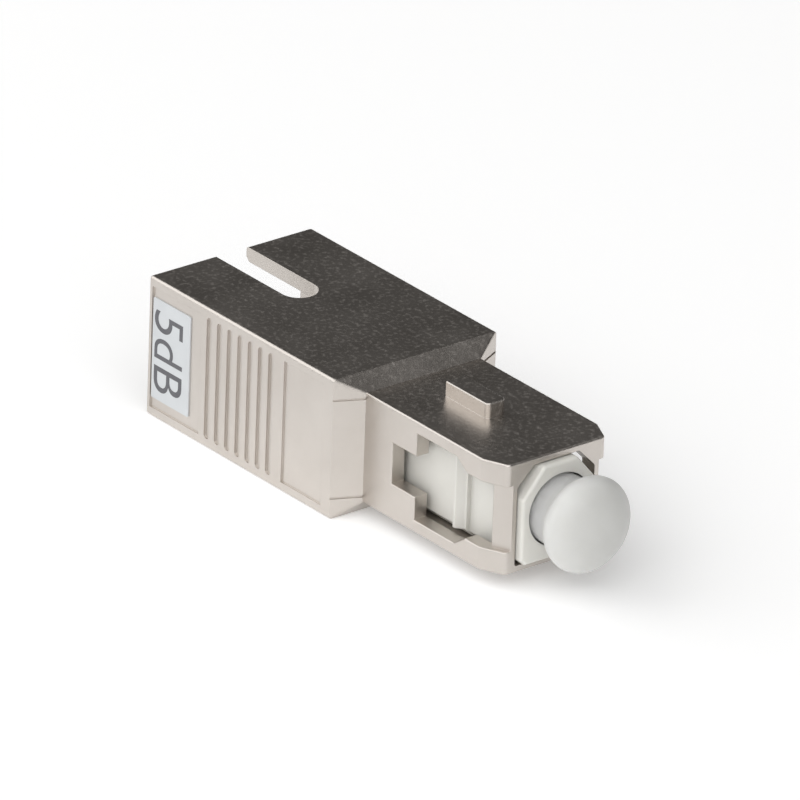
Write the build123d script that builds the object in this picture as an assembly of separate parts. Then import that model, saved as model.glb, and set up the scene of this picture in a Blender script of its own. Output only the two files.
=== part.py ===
from build123d import *

import math
import os

# Fixed fibre attenuator: a push-pull plug at one end, a receptacle for the same plug at the other.
# Millimetres. X runs along the optical axis towards the plug and Z is up.
# The origin is the centre of the main block's underside.

# Housing, outside
BODY_LENGTH = 18.5
BODY_WIDTH = 12.7
BODY_HEIGHT = 9.4
BODY_EDGE_RADIUS = 0.22
BODY_REAR_EDGE_RADIUS = 0.2
TAPER_LENGTH = 0.9
PLUG_LENGTH = 13.0
PLUG_WIDTH = 9.0
PLUG_HEIGHT = 7.4
PLUG_EDGE_RADIUS = 0.15
PLUG_BEVEL_LENGTH = 1.65
PLUG_BEVEL_WIDTH = 0.75
PLUG_BEVEL_RADIUS = 0.4

# Housing, inside
SHELL_SIDE_WALL = 1.0
SHELL_TOP_WALL = 0.45
POST_LENGTH = 1.2
RECEPTACLE_DEPTH = 11.6
RECEPTACLE_SIDE_PLAY = 0.075
RECEPTACLE_TOP_PLAY = 0.05
MOUTH_LEAD_IN = 0.3
CHAMBER_WIDTH = 8.0
CHAMBER_HEIGHT = 7.0

# Key and key slot
KEY_LENGTH = 4.1
KEY_WIDTH = 1.5
KEY_HEIGHT = 1.0
KEY_SETBACK = 5.9
KEY_EDGE_RADIUS = 0.1
KEY_FRONT_RADIUS = 0.35
KEY_SLOT_WIDTH = 2.5
KEY_SLOT_LENGTH = 8.1

# Side panels, finger grooves and parting lines
PANEL_DEPTH = 0.12
PANEL_REAR_MARGIN = 0.35
PANEL_FRONT_MARGIN = 0.9
PANEL_LIP = 0.6
GRIP_REAR_MARGIN = 0.8
GRIP_FRONT_MARGIN = 1.31
GROOVE_PITCH = 1.03
GROOVE_WIDTH = 0.52
GROOVE_DEPTH = 0.15
GROOVE_LIP = 0.6
GROOVE_FRONT_MARGIN = 6.19
PARTING_LINE_LIP = 1.4
PARTING_LINE_WIDTH = 0.14
PARTING_LINE_DEPTH = 0.12

# Windows in the plug's sides, as setbacks from the plug's front and half-heights
WINDOW_TAIL_SETBACK = 10.3
WINDOW_TAIL_HALF = 1.36
WINDOW_BACK_SETBACK = 8.0
WINDOW_HALF = 2.9
WINDOW_RAMP_SETBACK = 4.1
WINDOW_RAMP_END_SETBACK = 3.05
WINDOW_FRONT_HALF = 2.18
RELIEF_DEPTH = 0.43
WINDOW_EDGE_RADIUS = 0.12

# Value label
LABEL_LENGTH = 3.75
LABEL_LIP = 1.3
LABEL_THICKNESS = 0.08
LABEL_REAR_MARGIN = 0.1
LABEL_FRONT_MARGIN = 0.6
LABEL_CORNER_RADIUS = 0.12

# Plug frame
PUSH_PULL_TRAVEL = 1.6
STOP_GAP = 0.05
FRAME_CLEARANCE = 0.1
RIDGE_CLEARANCE = 0.05
FRAME_WIDTH = 6.1
FRAME_CORNER_CUT = 0.5
FRAME_FLANGE = 1.2
NOSE_WIDTH = 5.8
NOSE_PROJECTION = 0.5
NOSE_CORNER_CUT_WIDTH = 1.6
NOSE_CORNER_CUT_HEIGHT = 1.9
NOSE_FOOT_CUT = 0.35
NOSE_EDGE_RADIUS = 0.2
NOSE_HOLE_RADIUS = 2.42
NOSE_HOLE_DEPTH = 7.6
NOSE_BACK_SETBACK = 3.85
MOUTH_CORNER_CUT = 1.25
CORNER_CUT_RADIUS = 0.3
RIDGE_FOOT_SETBACK = 4.7
RIDGE_CREST_SETBACK = 5.3
RIDGE_BACK_SETBACK = 5.5
RIDGE_GROOVE_DEPTH = 0.15
RIDGE_ROOT = 0.15

# Ferrule, flange, spring and stop
FERRULE_RADIUS = 1.25
FERRULE_PROJECTION = 0.35
FERRULE_TIP_BEVEL = 0.3
FIBRE_RADIUS = 0.0625
PASSING_GAP = 0.3
SHOULDER_THICKNESS = 1.2
FLANGE_RADIUS = 2.05
FLANGE_THICKNESS = 2.0
FLANGE_RUNNING_GAP = 0.1
FLANGE_NOTCH = 0.6
SPRING_WIRE_RADIUS = 0.2
SPRING_MEAN_RADIUS = 1.75
SPRING_PITCH = 0.95
SPRING_SEAT_GAP = 0.03
STOP_THICKNESS = 1.0
STOP_RIM = 0.15
PRESS_GAP = 0.01

# Receptacle insert and split sleeve
INSERT_FLANGE = 1.2
INSERT_SEAT_PLAY = 0.05
ARM_THICKNESS = 0.6
ARM_HALF = 1.95
ARM_RELIEF_GAP = 0.08
ARM_FLEX_ROOM = 0.9
ARM_SIDE_PLAY = 0.35
CLAW_LENGTH = 1.25
CLAW_FLAT = 0.35
CLAW_CATCH = 0.25
LATCH_PLAY = 0.05
TUBE_RADIUS = 2.25
TUBE_LENGTH = 6.6
BOSS_RADIUS = 2.0
BOSS_LENGTH = 2.45
PORT_RADIUS = 1.4
PORT_LENGTH = 0.7
PORT_LEAD_IN = 0.3
SLEEVE_OUTER_RADIUS = 1.6
SLEEVE_FIT = 0.01
SLEEVE_ROOM = 0.05
SLEEVE_END_PLAY = 0.1
SLEEVE_SLIT = 0.4
RETAINER_THICKNESS = 0.7
RETAINER_GAP = 0.15

# Dust cap
CAP_FIT = 0.02
CAP_NECK_RADIUS = 2.3
CAP_INSERTION = 6.65
CAP_TIP_ROOM = 0.3
CAP_HEAD_RADIUS = 3.12
CAP_NECK_REACH = 0.95
CAP_FLARE_LENGTH = 1.65
CAP_DOME_HEIGHT = 1.65
CAP_NECK_LEAD = 0.2

# Stations along the optical axis
AXIS_Z = BODY_HEIGHT / 2
BODY_REAR_X = -BODY_LENGTH / 2
BODY_FRONT_X = BODY_LENGTH / 2
PLUG_BACK_X = BODY_FRONT_X + TAPER_LENGTH
PLUG_FRONT_X = PLUG_BACK_X + PLUG_LENGTH
INSERT_BACK_X = BODY_REAR_X + RECEPTACLE_DEPTH
INSERT_SEAT_X = INSERT_BACK_X + INSERT_FLANGE
FRAME_BACK_X = INSERT_SEAT_X + STOP_GAP
FRAME_FLANGE_X = FRAME_BACK_X + FRAME_FLANGE
CHAMBER_FRONT_X = FRAME_FLANGE_X + PUSH_PULL_TRAVEL
POST_BACK_X = PLUG_FRONT_X - POST_LENGTH
NOSE_BACK_X = PLUG_FRONT_X - NOSE_BACK_SETBACK
NOSE_FRONT_X = PLUG_FRONT_X + NOSE_PROJECTION
NOSE_FLOOR_X = NOSE_FRONT_X - NOSE_HOLE_DEPTH
SHOULDER_X = NOSE_FLOOR_X - SHOULDER_THICKNESS
FLANGE_BACK_X = SHOULDER_X - FLANGE_THICKNESS
FERRULE_TIP_X = NOSE_FRONT_X + FERRULE_PROJECTION
FERRULE_TAIL_X = INSERT_BACK_X + FERRULE_PROJECTION
BOSS_TIP_X = INSERT_SEAT_X + BOSS_LENGTH
STOP_BACK_X = BOSS_TIP_X + PASSING_GAP
STOP_FRONT_X = STOP_BACK_X + STOP_THICKNESS
TUBE_TIP_X = INSERT_BACK_X - TUBE_LENGTH
PORT_X = TUBE_TIP_X + PORT_LEAD_IN
SLEEVE_SEAT_X = PORT_X + PORT_LENGTH
RETAINER_X = BOSS_TIP_X - RETAINER_THICKNESS
LATCH_FACE_X = INSERT_BACK_X - NOSE_PROJECTION - RIDGE_BACK_SETBACK - LATCH_PLAY
CLAW_TIP_X = LATCH_FACE_X - CLAW_LENGTH
CAP_BACK_X = NOSE_FRONT_X - CAP_INSERTION
CAP_BORE_END_X = FERRULE_TIP_X + CAP_TIP_ROOM
CAP_NECK_END_X = NOSE_FRONT_X + CAP_NECK_REACH
CAP_RIM_X = CAP_NECK_END_X + CAP_FLARE_LENGTH

# Sections that follow from the fits
BORE_WIDTH = PLUG_WIDTH - 2 * SHELL_SIDE_WALL
BORE_HEIGHT = PLUG_HEIGHT - 2 * SHELL_TOP_WALL
RECEPTACLE_WIDTH = PLUG_WIDTH + 2 * RECEPTACLE_SIDE_PLAY
RECEPTACLE_HEIGHT = PLUG_HEIGHT + 2 * RECEPTACLE_TOP_PLAY
MOUTH_WIDTH = NOSE_WIDTH + 2 * FRAME_CLEARANCE
FRAME_HEIGHT = BORE_HEIGHT - 2 * FRAME_CLEARANCE
RIDGE_WIDTH = BORE_WIDTH - 2 * RIDGE_CLEARANCE
RELIEF_WIDTH = PLUG_WIDTH - 2 * RELIEF_DEPTH
ARM_INNER_Y = RELIEF_WIDTH / 2 + ARM_RELIEF_GAP
ARM_OUTER_Y = ARM_INNER_Y + ARM_THICKNESS
CLAW_INNER_Y = RIDGE_WIDTH / 2 - CLAW_CATCH
CHANNEL_WIDTH = 2 * (ARM_OUTER_Y + ARM_FLEX_ROOM)
CHANNEL_HEIGHT = 2 * (ARM_HALF + ARM_SIDE_PLAY)
SPRING_CHAMBER_RADIUS = FLANGE_RADIUS + FLANGE_RUNNING_GAP
STOP_BORE_RADIUS = SPRING_CHAMBER_RADIUS + STOP_RIM
FERRULE_PASS_RADIUS = FERRULE_RADIUS + PASSING_GAP
SLEEVE_INNER_RADIUS = FERRULE_RADIUS + SLEEVE_FIT
SLEEVE_BORE_RADIUS = SLEEVE_OUTER_RADIUS + SLEEVE_ROOM
PANEL_Y = BODY_WIDTH / 2 - PANEL_DEPTH
LABEL_REAR_X = BODY_REAR_X + PANEL_REAR_MARGIN + LABEL_REAR_MARGIN
GRIP_REAR_LIMIT_X = LABEL_REAR_X + LABEL_LENGTH + LABEL_FRONT_MARGIN + GRIP_REAR_MARGIN
GROOVE_FRONT_X = BODY_FRONT_X - GROOVE_FRONT_MARGIN
GROOVE_COUNT = 1 + math.floor((GROOVE_FRONT_X - GRIP_REAR_LIMIT_X) / GROOVE_PITCH)
OVERRUN = 0.5


def bar(x0, x1, width, height):
    """Rectangular bar along the optical axis, from x0 to x1."""
    return Pos((x0 + x1) / 2, 0, AXIS_Z) * Box(x1 - x0, width, height)


def rod(x0, x1, radius):
    """Round bar along the optical axis, from x0 to x1."""
    return Pos((x0 + x1) / 2, 0, AXIS_Z) * Rot(0, 90, 0) * Cylinder(radius, x1 - x0)


def cone(x0, x1, radius0, radius1):
    """Conical bar along the optical axis, from radius0 at x0 to radius1 at x1."""
    return Pos((x0 + x1) / 2, 0, AXIS_Z) * Rot(0, 90, 0) * Cone(radius0, radius1, x1 - x0)


def section_plane(x):
    """Plane square to the optical axis, with Y and Z as its own axes."""
    return Plane((x, 0, AXIS_Z), x_dir=(0, 1, 0), z_dir=(1, 0, 0))


def side_plane(y):
    """Plane that faces the near side, with X and Z as its own axes."""
    return Plane((0, y, AXIS_Z), x_dir=(1, 0, 0), z_dir=(0, -1, 0))


def rounded_bar(x0, x1, width, height, radius):
    """Bar along the optical axis whose four long edges are rounded."""
    return extrude(section_plane(x0) * RectangleRounded(width, height, radius), amount=x1 - x0)


def cut_corner_bar(x0, x1, width, height, top_cut, foot_cut):
    """Bar along the optical axis with its top corners and its foot corners cut off."""
    half_width = width / 2
    half_height = height / 2
    cut_width, cut_height = top_cut
    half_outline = [
        (half_width - foot_cut, -half_height),
        (half_width, foot_cut - half_height),
        (half_width, half_height - cut_height),
        (half_width - cut_width, half_height),
    ]
    mirrored = [(-y, z) for y, z in reversed(half_outline)]
    outline = Polygon(*half_outline, *mirrored, align=None)
    cut_bar = extrude(section_plane(x0) * outline, amount=x1 - x0)
    top_edges = cut_bar.edges().filter_by(Axis.X).group_by(Axis.Z)[-2:]
    return fillet(top_edges[0] + top_edges[1], CORNER_CUT_RADIUS)


def side_prism(half_outline, half_depth):
    """Prism through the part along Y, from the upper half of an outline about the optical axis."""
    mirrored = [(x, -z) for x, z in reversed(half_outline)]
    outline = Polygon(*half_outline, *mirrored, align=None)
    return extrude(side_plane(0) * outline, half_depth, both=True)


def plan_prism(outline, half_height):
    """Prism along Z about the optical axis, from an outline in plan, with its mirror image across Y."""
    near = extrude(Plane.XY.offset(AXIS_Z) * Polygon(*outline, align=None), half_height, both=True)
    return near + mirror(near, about=Plane.XZ)


def edges_round_face(solid, axis, last=True):
    """Edges of the face that lies furthest along an axis."""
    return solid.faces().sort_by(axis)[-1 if last else 0].edges()


def bevelled_plug(x0, width, height):
    """Block from x0 to the plug's front, with its two upright front corners cut at a slant."""
    side = width / 2
    front = side - PLUG_BEVEL_WIDTH
    bevel_x = PLUG_FRONT_X - PLUG_BEVEL_LENGTH
    near = [(x0, -side), (bevel_x, -side), (PLUG_FRONT_X, -front)]
    far = [(PLUG_FRONT_X, front), (bevel_x, side), (x0, side)]
    return extrude(Plane.XY.offset(AXIS_Z) * Polygon(*near, *far, align=None), height / 2, both=True)


def housing_outside():
    """Main block, taper, plug shell and key, before anything is hollowed out."""
    block = rounded_bar(BODY_REAR_X, BODY_FRONT_X, BODY_WIDTH, BODY_HEIGHT, BODY_EDGE_RADIUS)
    block = fillet(edges_round_face(block, Axis.X, last=False), BODY_REAR_EDGE_RADIUS)

    wide = section_plane(BODY_FRONT_X) * RectangleRounded(BODY_WIDTH, BODY_HEIGHT, BODY_EDGE_RADIUS)
    narrow = section_plane(PLUG_BACK_X) * RectangleRounded(PLUG_WIDTH, PLUG_HEIGHT, PLUG_EDGE_RADIUS)
    taper = loft([wide, narrow])

    shell = bevelled_plug(PLUG_BACK_X, PLUG_WIDTH, PLUG_HEIGHT)
    bevel_edges = shell.edges().filter_by(Axis.Z).group_by(Axis.X)[1:]
    shell = fillet(bevel_edges[0] + bevel_edges[1], PLUG_BEVEL_RADIUS)
    rims = edges_round_face(shell, Axis.Z) + edges_round_face(shell, Axis.Z, last=False)
    rims = [rim for rim in rims if rim.center().X > PLUG_BACK_X + PLUG_EDGE_RADIUS]
    shell = fillet(rims, PLUG_EDGE_RADIUS)

    key_x = PLUG_FRONT_X - KEY_SETBACK - KEY_LENGTH / 2
    key_foot = AXIS_Z + PLUG_HEIGHT / 2 - SHELL_TOP_WALL / 2
    key_rise = KEY_HEIGHT + SHELL_TOP_WALL / 2
    key = Pos(key_x, 0, key_foot + key_rise / 2) * Box(KEY_LENGTH, KEY_WIDTH, key_rise)
    front_edges = key.edges().filter_by(Axis.Z).group_by(Axis.X)[-1]
    key = fillet(front_edges, KEY_FRONT_RADIUS)
    rear_edges = key.edges().filter_by(Axis.Z).group_by(Axis.X)[0]
    key = fillet(rear_edges + edges_round_face(key, Axis.Z), KEY_EDGE_RADIUS)
    return block + taper + shell + key


def housing_hollows():
    """Receptacle, frame chamber, plug bore and mouth, each open to the next along the axis."""
    receptacle = bar(BODY_REAR_X - OVERRUN, INSERT_SEAT_X, RECEPTACLE_WIDTH, RECEPTACLE_HEIGHT)
    channels = bar(BODY_REAR_X - OVERRUN, INSERT_SEAT_X, CHANNEL_WIDTH, CHANNEL_HEIGHT)
    wide = section_plane(BODY_REAR_X) * Rectangle(
        RECEPTACLE_WIDTH + 2 * MOUTH_LEAD_IN, RECEPTACLE_HEIGHT + 2 * MOUTH_LEAD_IN
    )
    narrow = section_plane(BODY_REAR_X + MOUTH_LEAD_IN) * Rectangle(RECEPTACLE_WIDTH, RECEPTACLE_HEIGHT)
    chamber = bar(INSERT_SEAT_X, CHAMBER_FRONT_X, CHAMBER_WIDTH, CHAMBER_HEIGHT)
    bore = bar(CHAMBER_FRONT_X, POST_BACK_X, BORE_WIDTH, BORE_HEIGHT)
    top_cut = (MOUTH_CORNER_CUT, MOUTH_CORNER_CUT)
    mouth_end = PLUG_FRONT_X + OVERRUN
    mouth = cut_corner_bar(POST_BACK_X, mouth_end, MOUTH_WIDTH, BORE_HEIGHT, top_cut, FRAME_CLEARANCE)
    return [receptacle, channels, loft([wide, narrow]), chamber, bore, mouth]


def key_slot():
    """Round-ended slot in the receptacle's roof for the other plug's key."""
    radius = KEY_SLOT_WIDTH / 2
    straight = KEY_SLOT_LENGTH - radius
    floor = AXIS_Z
    rise = BODY_HEIGHT - floor + OVERRUN
    slot = Pos(BODY_REAR_X + (straight - OVERRUN) / 2, 0, floor + rise / 2)
    end = Pos(BODY_REAR_X + straight, 0, floor + rise / 2)
    return slot * Box(straight + OVERRUN, KEY_SLOT_WIDTH, rise) + end * Cylinder(radius, rise)


def shell_windows():
    """Latch windows through both sides of the plug shell, and the reliefs in front of them."""
    half_outline = [
        (PLUG_FRONT_X - WINDOW_TAIL_SETBACK, WINDOW_TAIL_HALF),
        (PLUG_FRONT_X - WINDOW_BACK_SETBACK, WINDOW_TAIL_HALF),
        (PLUG_FRONT_X - WINDOW_BACK_SETBACK, WINDOW_HALF),
        (PLUG_FRONT_X - WINDOW_RAMP_SETBACK, WINDOW_HALF),
        (PLUG_FRONT_X - WINDOW_RAMP_END_SETBACK, WINDOW_FRONT_HALF),
        (POST_BACK_X, WINDOW_FRONT_HALF),
    ]
    window = side_prism(half_outline, PLUG_WIDTH)

    around = bar(POST_BACK_X, PLUG_FRONT_X, PLUG_WIDTH + OVERRUN, 2 * WINDOW_FRONT_HALF)
    relief = around - bevelled_plug(PLUG_BACK_X, RELIEF_WIDTH, PLUG_HEIGHT)
    return [window, relief]


def side_details(side):
    """Sunk panels, finger grooves and parting lines on one side of the main block."""
    groove_rear_x = GROOVE_FRONT_X - (GROOVE_COUNT - 1) * GROOVE_PITCH
    spans = [
        (BODY_REAR_X + PANEL_REAR_MARGIN, groove_rear_x - GRIP_REAR_MARGIN),
        (GROOVE_FRONT_X + GRIP_FRONT_MARGIN, BODY_FRONT_X - PANEL_FRONT_MARGIN),
    ]
    cuts = []
    for start, end in spans:
        sunk = Pos((start + end) / 2, side * (PANEL_Y + BODY_WIDTH / 2), AXIS_Z)
        cuts.append(sunk * Box(end - start, BODY_WIDTH, BODY_HEIGHT - 2 * PANEL_LIP))

    groove_floor = side_plane(side * (BODY_WIDTH / 2 - GROOVE_DEPTH))
    outline = SlotOverall(BODY_HEIGHT - 2 * GROOVE_LIP, GROOVE_WIDTH, rotation=90)
    for index in range(GROOVE_COUNT):
        groove = groove_floor * Pos(GROOVE_FRONT_X - index * GROOVE_PITCH, 0) * outline
        cuts.append(extrude(groove, amount=-side * BODY_WIDTH))

    inset = (BODY_WIDTH - PLUG_WIDTH) / 2
    slope = math.degrees(math.atan2(inset, TAPER_LENGTH))
    middle_x = BODY_FRONT_X + TAPER_LENGTH / 2
    middle_y = side * (BODY_WIDTH - inset) / 2
    line = Box(math.hypot(inset, TAPER_LENGTH), 2 * PARTING_LINE_DEPTH, PARTING_LINE_WIDTH)
    for height_z in (PARTING_LINE_LIP, BODY_HEIGHT - PARTING_LINE_LIP):
        cuts.append(Pos(middle_x, middle_y, height_z) * Rot(0, 0, -side * slope) * line)
    return cuts


def on_window_rim(edge):
    """Whether an edge lies on the outer rim of a latch window, behind the plug's slanted corners."""
    tail_x = PLUG_FRONT_X - WINDOW_TAIL_SETBACK - WINDOW_EDGE_RADIUS
    bevel_x = PLUG_FRONT_X - PLUG_BEVEL_LENGTH + WINDOW_EDGE_RADIUS
    rim = WINDOW_HALF + WINDOW_EDGE_RADIUS
    return all(
        abs(abs(vertex.Y) - PLUG_WIDTH / 2) < WINDOW_EDGE_RADIUS / 2
        and tail_x < vertex.X < bevel_x
        and abs(vertex.Z - AXIS_Z) < rim
        for vertex in edge.vertices()
    )


def make_housing():
    """One plated casting: main block with the receptacle, taper, and plug shell with its key."""
    cuts = housing_hollows() + [key_slot()] + shell_windows() + side_details(-1) + side_details(1)
    casting = housing_outside() - cuts
    return fillet([edge for edge in casting.edges() if on_window_rim(edge)], WINDOW_EDGE_RADIUS)


def make_label():
    """Paper label stuck in the panel on the near side."""
    height = BODY_HEIGHT - 2 * LABEL_LIP
    outline = RectangleRounded(LABEL_LENGTH, height, LABEL_CORNER_RADIUS)
    place = side_plane(-PANEL_Y) * Pos(LABEL_REAR_X + LABEL_LENGTH / 2, 0)
    return extrude(place * outline, amount=LABEL_THICKNESS)


def make_plug_frame():
    """Sliding inner frame: flange, body with latch ridges, and a nose that shows in the plug's mouth."""
    flange_width = CHAMBER_WIDTH - 2 * FRAME_CLEARANCE
    flange_height = CHAMBER_HEIGHT - 2 * FRAME_CLEARANCE
    flange = bar(FRAME_BACK_X, FRAME_FLANGE_X, flange_width, flange_height)
    body_cut = (FRAME_CORNER_CUT, FRAME_CORNER_CUT)
    body_end = PLUG_FRONT_X - RIDGE_FOOT_SETBACK
    body = cut_corner_bar(FRAME_FLANGE_X, body_end, FRAME_WIDTH, FRAME_HEIGHT, body_cut, FRAME_CORNER_CUT)

    nose_cut = (NOSE_CORNER_CUT_WIDTH, NOSE_CORNER_CUT_HEIGHT)
    nose = cut_corner_bar(NOSE_BACK_X, NOSE_FRONT_X, NOSE_WIDTH, FRAME_HEIGHT, nose_cut, NOSE_FOOT_CUT)
    nose = fillet(edges_round_face(nose, Axis.X), NOSE_EDGE_RADIUS)
    waist_width = NOSE_WIDTH - 2 * RIDGE_GROOVE_DEPTH
    waist = cut_corner_bar(body_end, NOSE_BACK_X, waist_width, FRAME_HEIGHT, nose_cut, NOSE_FOOT_CUT)

    ridge = plan_prism(
        [
            (body_end, waist_width / 2 - RIDGE_ROOT),
            (body_end, NOSE_WIDTH / 2),
            (PLUG_FRONT_X - RIDGE_CREST_SETBACK, RIDGE_WIDTH / 2),
            (PLUG_FRONT_X - RIDGE_BACK_SETBACK, RIDGE_WIDTH / 2),
            (PLUG_FRONT_X - RIDGE_BACK_SETBACK, waist_width / 2 - RIDGE_ROOT),
        ],
        FRAME_HEIGHT / 2 - FRAME_CORNER_CUT,
    )
    bores = [
        rod(NOSE_FLOOR_X, NOSE_FRONT_X + OVERRUN, NOSE_HOLE_RADIUS),
        rod(FRAME_BACK_X - OVERRUN, NOSE_FRONT_X, FERRULE_PASS_RADIUS),
        rod(FRAME_BACK_X - OVERRUN, SHOULDER_X, SPRING_CHAMBER_RADIUS),
        rod(FRAME_BACK_X - OVERRUN, STOP_FRONT_X, STOP_BORE_RADIUS),
    ]
    return flange + body + waist + nose + ridge - bores


def make_latch_insert():
    """Moulded insert pressed into the receptacle: flange, sleeve tube, boss and two latch arms."""
    flange_width = RECEPTACLE_WIDTH - 2 * INSERT_SEAT_PLAY
    flange_height = RECEPTACLE_HEIGHT - 2 * INSERT_SEAT_PLAY
    flange = bar(INSERT_BACK_X, INSERT_SEAT_X, flange_width, flange_height)
    claw_slope = CLAW_LENGTH - CLAW_FLAT
    arms = plan_prism(
        [
            (INSERT_SEAT_X, ARM_INNER_Y),
            (INSERT_SEAT_X, ARM_OUTER_Y),
            (CLAW_TIP_X, ARM_OUTER_Y),
            (CLAW_TIP_X, ARM_INNER_Y),
            (CLAW_TIP_X + claw_slope, CLAW_INNER_Y),
            (LATCH_FACE_X, CLAW_INNER_Y),
            (LATCH_FACE_X, ARM_INNER_Y),
        ],
        ARM_HALF,
    )
    tube = rod(TUBE_TIP_X, INSERT_BACK_X, TUBE_RADIUS)
    boss = rod(INSERT_SEAT_X, BOSS_TIP_X, BOSS_RADIUS)
    bores = [
        cone(TUBE_TIP_X, PORT_X, PORT_RADIUS + PORT_LEAD_IN, PORT_RADIUS),
        rod(TUBE_TIP_X, INSERT_BACK_X, PORT_RADIUS),
        rod(SLEEVE_SEAT_X, BOSS_TIP_X + OVERRUN, SLEEVE_BORE_RADIUS),
    ]
    return flange + arms + tube + boss - bores


def make_sleeve_retainer():
    """Ring pressed into the boss, which keeps the split sleeve in its tube."""
    ring = rod(RETAINER_X, BOSS_TIP_X, SLEEVE_BORE_RADIUS - PRESS_GAP)
    return ring - rod(RETAINER_X - OVERRUN, BOSS_TIP_X + OVERRUN, FERRULE_RADIUS + RETAINER_GAP)


def make_split_sleeve():
    """Slit ceramic sleeve that lines up the two ferrules."""
    start = SLEEVE_SEAT_X + SLEEVE_END_PLAY
    end = RETAINER_X - SLEEVE_END_PLAY
    sleeve = rod(start, end, SLEEVE_OUTER_RADIUS)
    bore = rod(start - OVERRUN, end + OVERRUN, SLEEVE_INNER_RADIUS)
    slit_z = AXIS_Z + SLEEVE_OUTER_RADIUS
    slit = Pos((start + end) / 2, 0, slit_z) * Box(end - start + OVERRUN, SLEEVE_SLIT, 2 * FERRULE_RADIUS)
    return sleeve - [bore, slit]


def make_spring_stop():
    """Ring pressed into the frame's back, which the spring pushes against."""
    ring = rod(STOP_BACK_X, STOP_FRONT_X, STOP_BORE_RADIUS - PRESS_GAP)
    return ring - rod(STOP_BACK_X - OVERRUN, STOP_FRONT_X + OVERRUN, FERRULE_PASS_RADIUS)


def make_ferrule_spring():
    """Compression spring between the stop and the ferrule's flange."""
    start = STOP_FRONT_X + SPRING_SEAT_GAP + SPRING_WIRE_RADIUS
    end = FLANGE_BACK_X - SPRING_SEAT_GAP - SPRING_WIRE_RADIUS
    foot = (start, 0, AXIS_Z)
    coil = Helix(SPRING_PITCH, end - start, SPRING_MEAN_RADIUS, center=foot, direction=(1, 0, 0))
    wire = Plane(origin=coil @ 0, z_dir=coil % 0) * Circle(SPRING_WIRE_RADIUS)
    return sweep(wire, path=coil, is_frenet=True)


def make_ferrule_flange():
    """Metal collar fixed on the ferrule, with two notches for turning it."""
    collar = rod(FLANGE_BACK_X, SHOULDER_X, FLANGE_RADIUS)
    bore = rod(FLANGE_BACK_X - OVERRUN, SHOULDER_X + OVERRUN, FERRULE_RADIUS + PRESS_GAP)
    notch = bar(FLANGE_BACK_X - OVERRUN, SHOULDER_X + OVERRUN, FLANGE_NOTCH, 2 * FLANGE_RADIUS + OVERRUN)
    keep = rod(FLANGE_BACK_X - OVERRUN, SHOULDER_X + OVERRUN, FLANGE_RADIUS - FLANGE_NOTCH / 2)
    return collar - [bore, notch - keep]


def make_ferrule():
    """Long ceramic ferrule that reaches from the plug's nose into the receptacle's sleeve."""
    ferrule = rod(FERRULE_TAIL_X, FERRULE_TIP_X, FERRULE_RADIUS)
    tips = edges_round_face(ferrule, Axis.X) + edges_round_face(ferrule, Axis.X, last=False)
    ferrule = chamfer(tips, FERRULE_TIP_BEVEL)
    return ferrule - rod(FERRULE_TAIL_X - OVERRUN, FERRULE_TIP_X + OVERRUN, FIBRE_RADIUS)


def make_attenuating_fibre():
    """Doped glass fibre that fills the ferrule's bore."""
    return rod(FERRULE_TAIL_X, FERRULE_TIP_X, FIBRE_RADIUS)


def make_dust_cap():
    """Soft cap pushed over the ferrule, with a domed head to pull it by."""
    neck_corner = (CAP_BACK_X + CAP_NECK_LEAD, CAP_NECK_RADIUS)
    neck_end = (CAP_NECK_END_X, CAP_NECK_RADIUS)
    rim = (CAP_RIM_X, CAP_HEAD_RADIUS)
    crown = (CAP_RIM_X + CAP_DOME_HEIGHT, 0)
    outline = Polyline((CAP_BORE_END_X, 0), (CAP_BORE_END_X, FERRULE_RADIUS + CAP_FIT))
    outline += Polyline(
        (CAP_BORE_END_X, FERRULE_RADIUS + CAP_FIT),
        (CAP_BACK_X, FERRULE_RADIUS + CAP_FIT),
        (CAP_BACK_X, CAP_NECK_RADIUS - CAP_NECK_LEAD),
        neck_corner,
        neck_end,
    )
    outline += Spline(neck_end, rim, tangents=[(1, 0), (1, 0)])
    outline += EllipticalCenterArc((CAP_RIM_X, 0), CAP_DOME_HEIGHT, CAP_HEAD_RADIUS)
    outline += Line(crown, (CAP_BORE_END_X, 0))
    profile = side_plane(0) * make_face(outline)
    return revolve(profile, axis=Axis((0, 0, AXIS_Z), (1, 0, 0)))


NODES = {
    "housing": make_housing,
    "value_label": make_label,
    "latch_insert": make_latch_insert,
    "sleeve_retainer": make_sleeve_retainer,
    "split_sleeve": make_split_sleeve,
    "plug_frame": make_plug_frame,
    "spring_stop": make_spring_stop,
    "ferrule_spring": make_ferrule_spring,
    "ferrule_flange": make_ferrule_flange,
    "ferrule": make_ferrule,
    "attenuating_fibre": make_attenuating_fibre,
    "dust_cap": make_dust_cap,
}

os.makedirs("parts", exist_ok=True)
for name, make in NODES.items():
    export_step(make(), f"parts/{name}.step")
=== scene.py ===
# %% [markdown]
# # A fibre attenuator, dressed for its portrait
# The real part is a plug-in attenuator: a plated casting, a white inner frame, a ceramic ferrule with its
# spring, a moulded insert and a soft dust cap. Their solids arrive as a fixed frame, in metres and already
# in place. They could be modelled again here, but then two sets of sizes would have to agree. So the solids
# stay as they are, and each step below gives one finish to the pieces that carry it. Only the printed
# letters and a smooth copy of the spring are added.

import math

import bmesh
import bpy
from mathutils import Matrix, Vector


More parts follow.
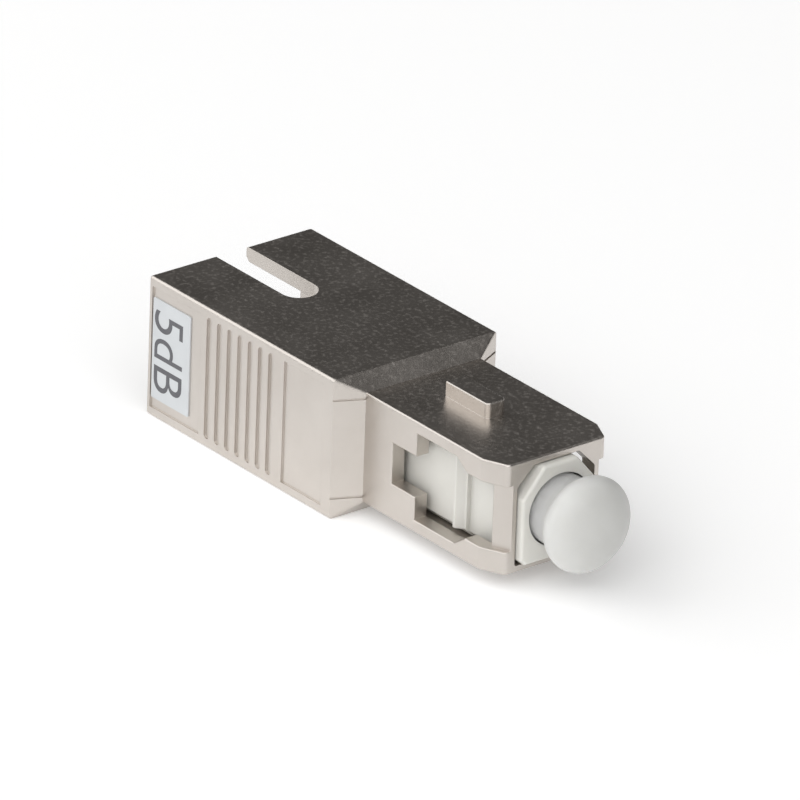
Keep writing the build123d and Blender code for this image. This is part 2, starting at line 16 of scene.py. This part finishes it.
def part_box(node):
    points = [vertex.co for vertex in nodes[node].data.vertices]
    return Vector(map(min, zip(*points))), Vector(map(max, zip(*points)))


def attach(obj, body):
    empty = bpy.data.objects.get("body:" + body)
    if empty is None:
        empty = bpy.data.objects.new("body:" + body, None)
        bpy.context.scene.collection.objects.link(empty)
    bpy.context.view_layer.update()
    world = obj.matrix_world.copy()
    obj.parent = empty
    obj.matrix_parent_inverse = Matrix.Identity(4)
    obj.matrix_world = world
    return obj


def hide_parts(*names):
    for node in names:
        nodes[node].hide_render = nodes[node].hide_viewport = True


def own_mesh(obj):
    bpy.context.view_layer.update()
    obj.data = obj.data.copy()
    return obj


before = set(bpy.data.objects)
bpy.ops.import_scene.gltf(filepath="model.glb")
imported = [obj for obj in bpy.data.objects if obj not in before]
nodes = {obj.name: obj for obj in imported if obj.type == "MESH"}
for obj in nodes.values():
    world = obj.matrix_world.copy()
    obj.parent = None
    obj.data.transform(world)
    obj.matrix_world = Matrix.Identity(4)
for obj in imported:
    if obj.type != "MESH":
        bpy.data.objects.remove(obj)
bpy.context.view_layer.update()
scene = bpy.context.scene
MM = 0.001
print("nodes:", ", ".join(sorted(nodes)))

# %% [markdown]
# ## The camera
# A part this small is pictured with a long lens from far away, which keeps the block's edges almost
# parallel. A Track To constraint could aim the camera, but it gives no roll. So three angles build the
# camera's own axes: the turn round the part, the height above the floor and a small roll. FRAMING then
# slides the camera across its view, which moves the part in the picture without turning it.

# %% Camera
AIM = Vector((7.0, 0.0, 4.7)) * MM
TURN = math.radians(50.86)
RISE = math.radians(25.14)
ROLL = math.radians(2.09)
DISTANCE = 893.1 * MM
FRAMING = (0.604 * MM, 0.737 * MM)
LENS = 654.6
SENSOR_WIDTH = 36.0

level = Vector((math.cos(TURN), math.sin(TURN), 0.0))
back = Vector((math.sin(TURN) * math.cos(RISE), -math.cos(TURN) * math.cos(RISE), math.sin(RISE)))
upright = back.cross(level)
across = level * math.cos(ROLL) + upright * math.sin(ROLL)
upward = upright * math.cos(ROLL) - level * math.sin(ROLL)

camera_data = bpy.data.cameras.new("camera")
camera_data.lens = LENS
camera_data.sensor_width = SENSOR_WIDTH
camera = bpy.data.objects.new("camera", camera_data)
scene.collection.objects.link(camera)
facing = Matrix((across, upward, back)).transposed().to_4x4()
place = AIM + back * DISTANCE + across * FRAMING[0] + upward * FRAMING[1]
camera.matrix_world = Matrix.Translation(place) @ facing
bpy.context.scene.camera = camera
print("camera stands at", [round(value, 3) for value in place])

# %% [markdown]
# ## The floor
# Plated metal has hardly any colour of its own: it shows what is round it. The upright faces mirror the
# floor, so a bright floor is what makes them bright. Lamps alone could light it that far, but they would
# burn out the part as well. So the floor is matt white paper with a faint glow of its own, like a light
# table.

# %% Floor shape
FLOOR_HALF = 0.9
FLOOR_SEGMENTS = 4


def finished_piece(name, work):
    """Makes a finished bmesh an object at the origin, with its place in its mesh."""
    mesh = bpy.data.meshes.new(name)
    work.to_mesh(mesh)
    work.free()
    piece = bpy.data.objects.new(name, mesh)
    scene.collection.objects.link(piece)
    return piece


floor_bm = bmesh.new()
bmesh.ops.create_grid(floor_bm, x_segments=FLOOR_SEGMENTS, y_segments=FLOOR_SEGMENTS, size=FLOOR_HALF)
floor = finished_piece("floor", floor_bm)
print("floor is", 2 * FLOOR_HALF, "m across")

# %% Floor paper
FLOOR_GREY = 0.93
FLOOR_ROUGHNESS = 0.9
FLOOR_GLOSS = 0.1
FLOOR_GLOW = 0.19


def new_finish(name):
    """Material with a Principled shader: gives the material, its node tree and the shader."""
    finish = bpy.data.materials.new(name)
    finish.use_nodes = True
    return finish, finish.node_tree, finish.node_tree.nodes["Principled BSDF"]


floor_paper, tree, shader = new_finish("floor_paper")
shader.inputs["Base Color"].default_value = (FLOOR_GREY, FLOOR_GREY, FLOOR_GREY, 1.0)
shader.inputs["Roughness"].default_value = FLOOR_ROUGHNESS
shader.inputs["Specular IOR Level"].default_value = FLOOR_GLOSS
shader.inputs["Emission Color"].default_value = (1.0, 1.0, 1.0, 1.0)
shader.inputs["Emission Strength"].default_value = FLOOR_GLOW
floor.data.materials.append(floor_paper)
print(floor_paper.name, "glows at", FLOOR_GLOW)

# %% [markdown]
# ## Room and lamps
# Such a picture is taken with a few large soft boxes in a dim room. Small strong lamps or a sun would give
# as much light, but plating mirrors every lamp, and a mirrored lamp is as bright as its power spread over
# its area. So the lamps are broad and weak. None stands where the flat top would mirror it to the camera,
# and the top shows the dark room instead.

# %% Room
ROOM_COLOUR = (0.064, 0.062, 0.060)
ROOM_STRENGTH = 1.0

scene.view_settings.view_transform = "Standard"
world = bpy.data.worlds.new("studio_room")
world.use_nodes = True
room = world.node_tree.nodes["Background"]
room.inputs["Color"].default_value = (*ROOM_COLOUR, 1.0)
room.inputs["Strength"].default_value = ROOM_STRENGTH
scene.world = world
print("room colour:", ROOM_COLOUR)

# %% Lamps
LAMP_AIM = Vector((0.007, 0.0, 0.004))


def soft_lamp(name, position, size, power):
    """Square lamp that faces the part, with its size in metres and its power in watts."""
    data = bpy.data.lights.new(name, "AREA")
    data.shape = "SQUARE"
    data.size = size
    data.energy = power
    lamp = bpy.data.objects.new(name, data)
    lamp.location = position
    lamp.rotation_euler = (Vector(position) - LAMP_AIM).to_track_quat("Z", "Y").to_euler()
    scene.collection.objects.link(lamp)
    return lamp


lamps = [
    soft_lamp("key_softbox", (-0.72, -0.46, 0.56), size=1.10, power=5.6),
    soft_lamp("overhead_softbox", (0.22, -0.32, 0.85), size=1.50, power=7.2),
    soft_lamp("near_fill", (0.76, -0.44, 0.34), size=1.30, power=5.4),
    soft_lamp("side_fill", (0.05, -0.88, 0.28), size=1.00, power=2.0),
    soft_lamp("back_glow", (0.40, 0.46, 0.52), size=0.60, power=0.03),
]
print("lamps:", [lamp.name for lamp in lamps])

# %% [markdown]
# ## Shared surface effects
# Nearly every surface here has one of two things, or both: a fine grain that the mould or the casting
# leaves, and a slow, cloudy change that cooling and handling leave. Painted images could show them, but
# they would need unwrapping and would blur close up. Noise on object coordinates keeps its size in metres.
# Each effect is a node group, built once, and every material gives it values of its own.

# %% Group helper


def new_group(name, inputs, outputs):
    """Shader node group with plain number sockets, and its two end nodes."""
    group = bpy.data.node_groups.new(name, "ShaderNodeTree")
    for label, value in inputs.items():
        socket = group.interface.new_socket(label, in_out="INPUT", socket_type="NodeSocketFloat")
        socket.default_value = value
    for label in outputs:
        group.interface.new_socket(label, in_out="OUTPUT", socket_type="NodeSocketFloat")
    print("group", name, "takes", ", ".join(inputs), "and gives", ", ".join(outputs))
    return group, group.nodes.new("NodeGroupInput"), group.nodes.new("NodeGroupOutput")


def noise(tree, scale, detail, roughness):
    """Noise on the piece's own coordinates, with its scale in features per metre."""
    node = tree.nodes.new("ShaderNodeTexNoise")
    node.inputs["Detail"].default_value = detail
    node.inputs["Roughness"].default_value = roughness
    tree.links.new(scale, node.inputs["Scale"])
    tree.links.new(tree.nodes.new("ShaderNodeTexCoord").outputs["Object"], node.inputs["Vector"])
    return node.outputs["Fac"]


print("made helpers:", new_group.__name__, noise.__name__)

# %% Sums and masks


def math_node(tree, operation, first, second, clamp=False):
    """Math node fed by sockets or by plain numbers."""
    node = tree.nodes.new("ShaderNodeMath")
    node.operation = operation
    node.use_clamp = clamp
    for slot, value in enumerate((first, second)):
        if isinstance(value, bpy.types.NodeSocket):
            tree.links.new(value, node.inputs[slot])
        else:
            node.inputs[slot].default_value = value
    return node.outputs[0]


def steep_mask(tree, value, level, gain):
    """Mask that is 0 up to a level and climbs from there to 1."""
    return math_node(tree, "MULTIPLY", math_node(tree, "SUBTRACT", value, level), gain, clamp=True)


print("made helpers:", math_node.__name__, steep_mask.__name__)

# %% Fine grain
COARSE_PITCH = 0.45
FINE_SHARE = 0.65
COARSE_SHARE = 0.35
MID_HEIGHT = 0.5
SPECK_LEVEL = 0.515
SPECK_GAIN = 5.0

grain, grain_in, grain_out = new_group(
    "fine_grain", {"Scale": 6000.0, "Contrast": 2.0}, ("Height", "Specks")
)
coarse_scale = math_node(grain, "MULTIPLY", grain_in.outputs["Scale"], COARSE_PITCH)
fine = noise(grain, grain_in.outputs["Scale"], detail=3.0, roughness=0.65)
coarse = noise(grain, coarse_scale, detail=1.0, roughness=0.5)
fine_part = math_node(grain, "MULTIPLY", fine, FINE_SHARE)
coarse_part = math_node(grain, "MULTIPLY", coarse, COARSE_SHARE)
centred = math_node(grain, "SUBTRACT", math_node(grain, "ADD", fine_part, coarse_part), MID_HEIGHT)
stretched = math_node(grain, "MULTIPLY", centred, grain_in.outputs["Contrast"])
grain.links.new(math_node(grain, "ADD", stretched, MID_HEIGHT), grain_out.inputs["Height"])
grain.links.new(steep_mask(grain, fine, SPECK_LEVEL, SPECK_GAIN), grain_out.inputs["Specks"])
print(grain.name, "has", len(grain.nodes), "nodes")

# %% Cloudy handling
CLOUD_LEVEL = 0.3
CLOUD_GAIN = 2.5


def low_to_high(tree, mask, ends):
    """Value that goes from the group's Low to its High with a mask."""
    reach = math_node(tree, "SUBTRACT", ends.outputs["High"], ends.outputs["Low"])
    return math_node(tree, "ADD", math_node(tree, "MULTIPLY", mask, reach), ends.outputs["Low"])


clouds, clouds_in, clouds_out = new_group(
    "cloudy_handling", {"Scale": 250.0, "Low": 0.0, "High": 1.0}, ("Value", "Mask")
)
drift = noise(clouds, clouds_in.outputs["Scale"], detail=4.0, roughness=0.55)
cloud_mask = steep_mask(clouds, drift, CLOUD_LEVEL, CLOUD_GAIN)
clouds.links.new(cloud_mask, clouds_out.inputs["Mask"])
clouds.links.new(low_to_high(clouds, cloud_mask, clouds_in), clouds_out.inputs["Value"])
print(clouds.name, "has", len(clouds.nodes), "nodes")

# %% [markdown]
# ## From effects to a finish
# The real finishes differ mostly in a few numbers: two close tones, a range of gloss and a depth of grain.
# Each material could be wired by hand, but the same links would come back in every one. So small helpers do
# the wiring, and a finish below is little more than its numbers. The Principled shader stays in the
# material itself, because the export can't read it inside a group.

# %% Tones and gloss


def place_group(tree, group, **values):
    """Puts a shared group in a material with its own input values."""
    node = tree.nodes.new("ShaderNodeGroup")
    node.node_tree = group
    for label, value in values.items():
        node.inputs[label].default_value = value
    return node


def two_tones(tree, shader, mask, tones):
    """Base colour that goes from one tone to another with a mask."""
    node = tree.nodes.new("ShaderNodeMix")
    node.data_type = "RGBA"
    tree.links.new(mask, node.inputs["Factor"])
    node.inputs["A"].default_value = (*tones[0], 1.0)
    node.inputs["B"].default_value = (*tones[1], 1.0)
    tree.links.new(node.outputs["Result"], shader.inputs["Base Color"])


def cloudy(tree, shader, scale, roughness, tones):
    """Tone and roughness that drift together in slow clouds."""
    node = place_group(tree, clouds, Scale=scale, Low=roughness[0], High=roughness[1])
    two_tones(tree, shader, node.outputs["Mask"], tones)
    tree.links.new(node.outputs["Value"], shader.inputs["Roughness"])


print("made helpers:", place_group.__name__, two_tones.__name__, cloudy.__name__)

# %% Relief and dressing


def relief(tree, shader, height, depth, strength):
    """Bump of a depth in metres; gives its node."""
    node = tree.nodes.new("ShaderNodeBump")
    node.inputs["Strength"].default_value = strength
    node.inputs["Distance"].default_value = depth
    tree.links.new(height, node.inputs["Height"])
    tree.links.new(node.outputs["Normal"], shader.inputs["Normal"])
    return node


def grained(tree, shader, scale, contrast, depth, strength):
    """Fine grain as relief; gives the grain's node and the bump's."""
    node = place_group(tree, grain, Scale=scale, Contrast=contrast)
    return node, relief(tree, shader, node.outputs["Height"], depth, strength)


def dress(finish, *names):
    """Gives CAD nodes a finish in place of their plain one."""
    for name in names:
        node_mesh = nodes[name].data
        node_mesh.materials.clear()
        node_mesh.materials.append(finish)
    print(finish.name, "on", ", ".join(names))


print("made helpers:", relief.__name__, grained.__name__, dress.__name__)

# %% [markdown]
# ## Nickel plating on the casting
# The housing is a zinc casting, tumbled and plated. The plating is bright, but the casting below it is
# finely grained, so a face that mirrors something dark is full of small lit specks. Bump alone could
# roughen the mirror image, but it wouldn't light the specks. So each speck is a spot of matt plating as
# well: there the shader is a little less metallic and scatters light. Tumbling wears the edges round, which
# a Bevel node softens beyond the modelled radii.

# %% Nickel plating
MATT_SHARE = 0.18
WORN_EDGE_RADIUS = 0.05 * MM
WORN_EDGE_SAMPLES = 6

plating, tree, shader = new_finish("nickel_plating")
cloudy(tree, shader, 220.0, roughness=(0.29, 0.36), tones=((0.57, 0.53, 0.49), (0.62, 0.58, 0.54)))
specked, bump = grained(tree, shader, 3200.0, contrast=2.2, depth=0.012 * MM, strength=0.6)
matt_spots = math_node(tree, "MULTIPLY", specked.outputs["Specks"], MATT_SHARE)
tree.links.new(math_node(tree, "SUBTRACT", 1.0, matt_spots), shader.inputs["Metallic"])
worn_edge = tree.nodes.new("ShaderNodeBevel")
worn_edge.samples = WORN_EDGE_SAMPLES
worn_edge.inputs["Radius"].default_value = WORN_EDGE_RADIUS
tree.links.new(worn_edge.outputs["Normal"], bump.inputs["Normal"])
dress(plating, "housing")

# %% [markdown]
# ## White moulded plastic
# The inner frame is moulded in a white engineering plastic, slightly warm, with a satin surface. A plain
# white shader would look like chalk, because in the real plastic a little light goes in before it comes
# back. Subsurface scattering with a short reach does that and softens the edges.

# %% White plastic
white, tree, shader = new_finish("white_plastic")
shader.inputs["Subsurface Weight"].default_value = 0.25
shader.inputs["Subsurface Radius"].default_value = (0.6, 0.6, 0.55)
shader.inputs["Subsurface Scale"].default_value = 0.4 * MM
cloudy(tree, shader, 300.0, roughness=(0.34, 0.44), tones=((0.67, 0.66, 0.62), (0.72, 0.71, 0.665)))
grained(tree, shader, 4500.0, contrast=1.2, depth=0.004 * MM, strength=0.4)
dress(white, "plug_frame")

# %% [markdown]
# ## Cream plastic of the insert
# The receptacle's insert bends each time a plug goes in, so it is moulded in a tougher, creamier plastic
# with a duller surface than the frame's. It could take the white finish in another tint, but deep in the
# mouth the scattering would hardly show and would only cost time. So it is left out, and the grain is a
# little stronger.

# %% Cream plastic
cream, tree, shader = new_finish("latch_plastic")
cloudy(tree, shader, 260.0, roughness=(0.46, 0.58), tones=((0.66, 0.61, 0.47), (0.72, 0.67, 0.53)))
grained(tree, shader, 3800.0, contrast=1.4, depth=0.006 * MM, strength=0.5)
dress(cream, "latch_insert", "sleeve_retainer")

# %% [markdown]
# ## Ceramic
# Ferrule and sleeve are polished zirconia: hard and white, with a clear gloss and almost no texture. A coat
# over a matt base could give the gloss, but the ceramic shines by itself, because it bends light strongly.
# So the shader gets a high index of refraction, and faint clouds keep the tone from being flat.

# %% Zirconia
CERAMIC_IOR = 2.1

zirconia, tree, shader = new_finish("zirconia")
shader.inputs["IOR"].default_value = CERAMIC_IOR
cloudy(tree, shader, 500.0, roughness=(0.08, 0.16), tones=((0.80, 0.80, 0.77), (0.86, 0.86, 0.84)))
dress(zirconia, "ferrule", "split_sleeve")

# %% [markdown]
# ## Turned metal and spring wire
# The collar and the stop are turned on a lathe, which leaves fine rings round the optical axis. Modelled
# grooves would take thousands of faces for something that is hardly seen. Bands along that axis, which is
# X, are rings on a turned piece, so a wave texture changes tone, gloss and relief together. The same bands
# cross the spring's turns as the fine lines of drawn wire, in a darker steel.

# %% Turned rings
RING_DISTORTION = 1.5
RING_DETAIL = 2.0

rings, rings_in, rings_out = new_group(
    "turned_rings", {"Scale": 4000.0, "Low": 0.2, "High": 0.4}, ("Height", "Value")
)
wave = rings.nodes.new("ShaderNodeTexWave")
wave.bands_direction = "X"
wave.inputs["Distortion"].default_value = RING_DISTORTION
wave.inputs["Detail"].default_value = RING_DETAIL
rings.links.new(rings.nodes.new("ShaderNodeTexCoord").outputs["Object"], wave.inputs["Vector"])
rings.links.new(rings_in.outputs["Scale"], wave.inputs["Scale"])
rings.links.new(wave.outputs["Fac"], rings_out.inputs["Height"])
rings.links.new(low_to_high(rings, wave.outputs["Fac"], rings_in), rings_out.inputs["Value"])
print(rings.name, "has", len(rings.nodes), "nodes")

# %% Collar, stop and wire
for name, tones, pieces in (
    ("flange_metal", ((0.62, 0.58, 0.50), (0.72, 0.68, 0.60)), ("ferrule_flange", "spring_stop")),
    ("spring_steel", ((0.42, 0.42, 0.42), (0.55, 0.55, 0.55)), ("ferrule_spring",)),
):
    metal, tree, shader = new_finish(name)
    shader.inputs["Metallic"].default_value = 1.0
    lines = place_group(tree, rings, Scale=2600.0, Low=0.18, High=0.36)
    two_tones(tree, shader, lines.outputs["Height"], tones)
    tree.links.new(lines.outputs["Value"], shader.inputs["Roughness"])
    relief(tree, shader, lines.outputs["Height"], depth=0.004 * MM, strength=0.5)
    dress(metal, *pieces)

# %% [markdown]
# ## The spring under load
# The spring shortens when the ferrule is pushed back, which the rigid solid can't show, and it would cut
# into the collar. A coil could be spun anew, but it would only repeat the solid's own turns. So a copy of
# the coil stands in for the solid: its loose triangles are merged and shaded smooth, and it rides with the
# frame. It keeps its full length here.

# %% Coil spring
MERGE_DISTANCE = 0.001 * MM

coil_bm = bmesh.new()
coil_bm.from_mesh(nodes["ferrule_spring"].data)
bmesh.ops.remove_doubles(coil_bm, verts=coil_bm.verts, dist=MERGE_DISTANCE)
for face in coil_bm.faces:
    face.smooth = True
coil = finished_piece("coil_spring", coil_bm)
coil.data.materials.append(nodes["ferrule_spring"].data.materials[0])
print("coil has", len(coil.data.polygons), "faces")

# %% Spring travel
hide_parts("ferrule_spring")
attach(coil, "plug_core")
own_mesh(coil)

# %% [markdown]
# ## Glass fibre
# The fibre is about as thick as a strong hair and shows only as a dot in the polished ends of the ferrule.
# It is glass with a doped core, so its colour has a trace of blue. A pale plastic dot would do from afar,
# but close up only a shader that lets light through looks like glass.

# %% Fibre glass
glass, tree, shader = new_finish("fibre_glass")
shader.inputs["Roughness"].default_value = 0.04
shader.inputs["Transmission Weight"].default_value = 0.9
tint = place_group(tree, clouds, Scale=4000.0)
two_tones(tree, shader, tint.outputs["Mask"], ((0.70, 0.80, 0.92), (0.82, 0.90, 0.98)))
dress(glass, "attenuating_fibre")

# %% [markdown]
# ## Soft dust cap
# The cap is a milky, soft plastic that lets light through. Transmission could show that, but it is slow to
# render and would show the ferrule inside as through frosted glass. Strong subsurface scattering with a
# reach of some millimetres makes the cap glow evenly, and a dull gloss over a very fine grain keeps its
# highlights broad.

# %% Dust cap
milky, tree, shader = new_finish("cap_plastic")
shader.inputs["Subsurface Weight"].default_value = 1.0
shader.inputs["Subsurface Radius"].default_value = (1.0, 1.0, 0.95)
shader.inputs["Subsurface Scale"].default_value = 5.0 * MM
cloudy(tree, shader, 350.0, roughness=(0.40, 0.50), tones=((0.52, 0.52, 0.507), (0.56, 0.56, 0.547)))
grained(tree, shader, 3000.0, contrast=1.2, depth=0.004 * MM, strength=0.4)
dress(milky, "dust_cap")

# %% [markdown]
# ## Paper label
# The value label is matt white paper, stuck in the side panel. A flat white would do from afar, but paper
# has fibres and takes up a little dirt. So it gets the shared grain, a little coarser than on the plastics,
# cool tones that drift slightly, and hardly any gloss.

# %% Label paper
paper, tree, shader = new_finish("label_paper")
cloudy(tree, shader, 420.0, roughness=(0.55, 0.68), tones=((0.55, 0.57, 0.585), (0.60, 0.62, 0.635)))
grained(tree, shader, 2600.0, contrast=1.6, depth=0.004 * MM, strength=0.5)
dress(paper, "value_label")

# %% [markdown]
# ## Printed value
# The label says only how much light the part takes away, in dark ink that reads downwards. The letters
# could be a picture on the paper, but that would blur close up. A text object has sharp outlines at any
# size. It is made a mesh, narrowed, turned and laid just in front of the paper, so that it sits at the
# origin like the solids.

# %% Label ink
INK_ROUGHNESS = 0.6

ink, tree, shader = new_finish("label_ink")
blot = place_group(tree, grain, Scale=3500.0, Contrast=1.5)
two_tones(tree, shader, blot.outputs["Height"], ((0.085, 0.085, 0.095), (0.13, 0.13, 0.14)))
shader.inputs["Roughness"].default_value = INK_ROUGHNESS
print(ink.name, "is ready")

# %% Letters
LETTER_SIZE = 4.15 * MM
STROKE_OFFSET = -0.01 * MM

text_curve = bpy.data.curves.new("printed_value", "FONT")
text_curve.body = "5dB"
text_curve.align_x = "CENTER"
text_curve.align_y = "CENTER"
text_curve.size = LETTER_SIZE
text_curve.offset = STROKE_OFFSET
text_object = bpy.data.objects.new("printed_value_curve", text_curve)
scene.collection.objects.link(text_object)
bpy.context.view_layer.update()
flat_letters = bpy.data.meshes.new_from_object(text_object)
bpy.data.objects.remove(text_object)
print("letters have", len(flat_letters.polygons), "faces")

# %% Print on the label
LETTER_NARROWING = 0.88
PRINT_SHIFT = 0.42 * MM
PRINT_LIFT = 0.004 * MM

text_bm = bmesh.new()
text_bm.from_mesh(flat_letters)
bpy.data.meshes.remove(flat_letters)
narrow = Matrix.Diagonal((LETTER_NARROWING, 1.0, 1.0, 1.0))
read_down = Matrix(((0, 1, 0), (0, 0, -1), (-1, 0, 0))).to_4x4()
low, high = (Vector(corner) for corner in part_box("value_label"))
middle = Vector(((low.x + high.x) / 2 - PRINT_SHIFT, low.y - PRINT_LIFT, (low.z + high.z) / 2))
bmesh.ops.transform(text_bm, matrix=Matrix.Translation(middle) @ read_down @ narrow, verts=text_bm.verts)
printed_value = finished_piece("printed_value", text_bm)
printed_value.data.materials.append(ink)
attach(printed_value, "housing")
print("print lies", round((low.y - middle.y) / MM, 3), "mm in front of the paper")
